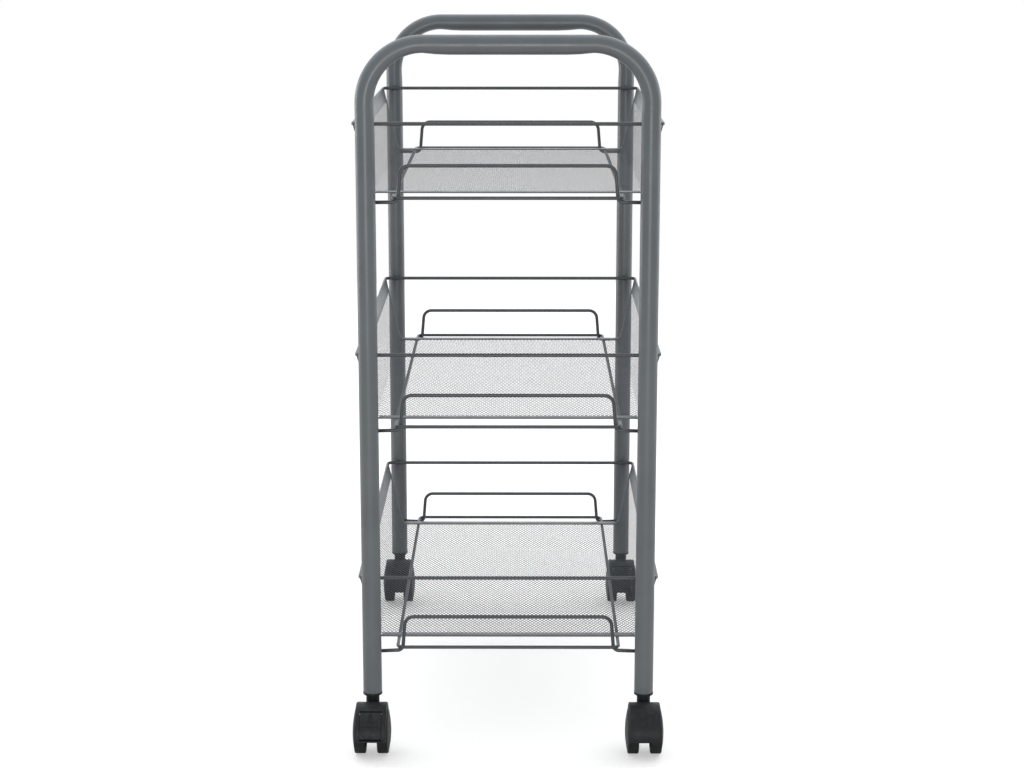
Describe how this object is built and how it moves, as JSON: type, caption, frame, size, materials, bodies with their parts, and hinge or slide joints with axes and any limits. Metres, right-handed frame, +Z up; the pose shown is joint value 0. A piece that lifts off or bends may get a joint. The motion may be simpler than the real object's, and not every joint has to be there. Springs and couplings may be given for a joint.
{
  "type": "rolling utility cart",
  "caption": "Slim rolling utility cart: a bent-tube hoop at each end, open-ended mesh baskets between them one above another, swivel castors with toe brakes.",
  "frame": {"origin": "on the floor in the middle of the footprint, which is the middle of the four castor axles while the castors trail to the front", "axes": "+Z up; the long side runs along Y and the front end faces -Y; +X is to the right as seen from the front"},
  "size_m": [0.2802, 0.496, 0.64],
  "materials": {
    "frame_coat": "satin grey powder coat",
    "wire_coat": "satin grey powder coat",
    "mesh_coat": "satin grey powder coat on expanded metal",
    "castor_plastic": "moulded, near black",
    "wheel_plastic": "moulded, near black",
    "steel": "zinc plated"
  },
  "bodies": {
    "frame": {"front_hoop": "frame_coat", "rear_hoop": "frame_coat", "top_tray": "mesh_coat", "top_rim_wire": "wire_coat", "top_under_frame": "wire_coat", "top_front_guard": "wire_coat", "top_rear_guard": "wire_coat", "middle_tray": "mesh_coat", "middle_rim_wire": "wire_coat", "middle_under_frame": "wire_coat", "middle_front_guard": "wire_coat", "middle_rear_guard": "wire_coat", "bottom_tray": "mesh_coat", "bottom_rim_wire": "wire_coat", "bottom_under_frame": "wire_coat", "bottom_front_guard": "wire_coat", "bottom_rear_guard": "wire_coat", "front_left_socket": "castor_plastic", "front_right_socket": "castor_plastic", "rear_left_socket": "castor_plastic", "rear_right_socket": "castor_plastic"},
    "front_left_castor": {"front_left_castor_stem": "steel", "front_left_castor_grip_ring": "steel", "front_left_castor_housing": "castor_plastic", "front_left_castor_axle": "steel", "front_left_castor_brake_pin": "steel"},
    "front_left_left_wheel": {"front_left_castor_left_wheel": "wheel_plastic"},
    "front_left_right_wheel": {"front_left_castor_right_wheel": "wheel_plastic"},
    "front_left_brake": {"front_left_castor_brake_lever": "castor_plastic"},
    "front_right_castor": {"front_right_castor_stem": "steel", "front_right_castor_grip_ring": "steel", "front_right_castor_housing": "castor_plastic", "front_right_castor_axle": "steel"},
    "front_right_left_wheel": {"front_right_castor_left_wheel": "wheel_plastic"},
    "front_right_right_wheel": {"front_right_castor_right_wheel": "wheel_plastic"},
    "rear_left_castor": {"rear_left_castor_stem": "steel", "rear_left_castor_grip_ring": "steel", "rear_left_castor_housing": "castor_plastic", "rear_left_castor_axle": "steel"},
    "rear_left_left_wheel": {"rear_left_castor_left_wheel": "wheel_plastic"},
    "rear_left_right_wheel": {"rear_left_castor_right_wheel": "wheel_plastic"},
    "rear_right_castor": {"rear_right_castor_stem": "steel", "rear_right_castor_grip_ring": "steel", "rear_right_castor_housing": "castor_plastic", "rear_right_castor_axle": "steel", "rear_right_castor_brake_pin": "steel"},
    "rear_right_left_wheel": {"rear_right_castor_left_wheel": "wheel_plastic"},
    "rear_right_right_wheel": {"rear_right_castor_right_wheel": "wheel_plastic"},
    "rear_right_brake": {"rear_right_castor_brake_lever": "castor_plastic"}
  },
  "joints": [
    {"name": "front_left_swivel", "type": "hinge", "parent": "frame", "child": "front_left_castor", "pos_m": [-0.1228, -0.205, 0.05], "axis": [0, 0, 1], "continuous": true},
    {"name": "front_left_left_wheel_spin", "type": "hinge", "parent": "front_left_castor", "child": "front_left_left_wheel", "pos_m": [-0.1228, -0.222, 0.02], "axis": [1, 0, 0], "continuous": true},
    {"name": "front_left_right_wheel_spin", "type": "hinge", "parent": "front_left_castor", "child": "front_left_right_wheel", "pos_m": [-0.1228, -0.222, 0.02], "axis": [1, 0, 0], "continuous": true},
    {"name": "front_left_brake_tilt", "type": "hinge", "parent": "front_left_castor", "child": "front_left_brake", "pos_m": [-0.1228, -0.23493, 0.04069], "axis": [1, 0, 0], "range_deg": [0, 7]},
    {"name": "front_right_swivel", "type": "hinge", "parent": "frame", "child": "front_right_castor", "pos_m": [0.1228, -0.205, 0.05], "axis": [0, 0, 1], "continuous": true},
    {"name": "front_right_left_wheel_spin", "type": "hinge", "parent": "front_right_castor", "child": "front_right_left_wheel", "pos_m": [0.1228, -0.222, 0.02], "axis": [1, 0, 0], "continuous": true},
    {"name": "front_right_right_wheel_spin", "type": "hinge", "parent": "front_right_castor", "child": "front_right_right_wheel", "pos_m": [0.1228, -0.222, 0.02], "axis": [1, 0, 0], "continuous": true},
    {"name": "rear_left_swivel", "type": "hinge", "parent": "frame", "child": "rear_left_castor", "pos_m": [-0.1228, 0.239, 0.05], "axis": [0, 0, 1], "continuous": true},
    {"name": "rear_left_left_wheel_spin", "type": "hinge", "parent": "rear_left_castor", "child": "rear_left_left_wheel", "pos_m": [-0.1228, 0.222, 0.02], "axis": [1, 0, 0], "continuous": true},
    {"name": "rear_left_right_wheel_spin", "type": "hinge", "parent": "rear_left_castor", "child": "rear_left_right_wheel", "pos_m": [-0.1228, 0.222, 0.02], "axis": [1, 0, 0], "continuous": true},
    {"name": "rear_right_swivel", "type": "hinge", "parent": "frame", "child": "rear_right_castor", "pos_m": [0.1228, 0.239, 0.05], "axis": [0, 0, 1], "continuous": true},
    {"name": "rear_right_left_wheel_spin", "type": "hinge", "parent": "rear_right_castor", "child": "rear_right_left_wheel", "pos_m": [0.1228, 0.222, 0.02], "axis": [1, 0, 0], "continuous": true},
    {"name": "rear_right_right_wheel_spin", "type": "hinge", "parent": "rear_right_castor", "child": "rear_right_right_wheel", "pos_m": [0.1228, 0.222, 0.02], "axis": [1, 0, 0], "continuous": true},
    {"name": "rear_right_brake_tilt", "type": "hinge", "parent": "rear_right_castor", "child": "rear_right_brake", "pos_m": [0.1228, 0.20907, 0.04069], "axis": [1, 0, 0], "range_deg": [0, 7]}
  ]
}
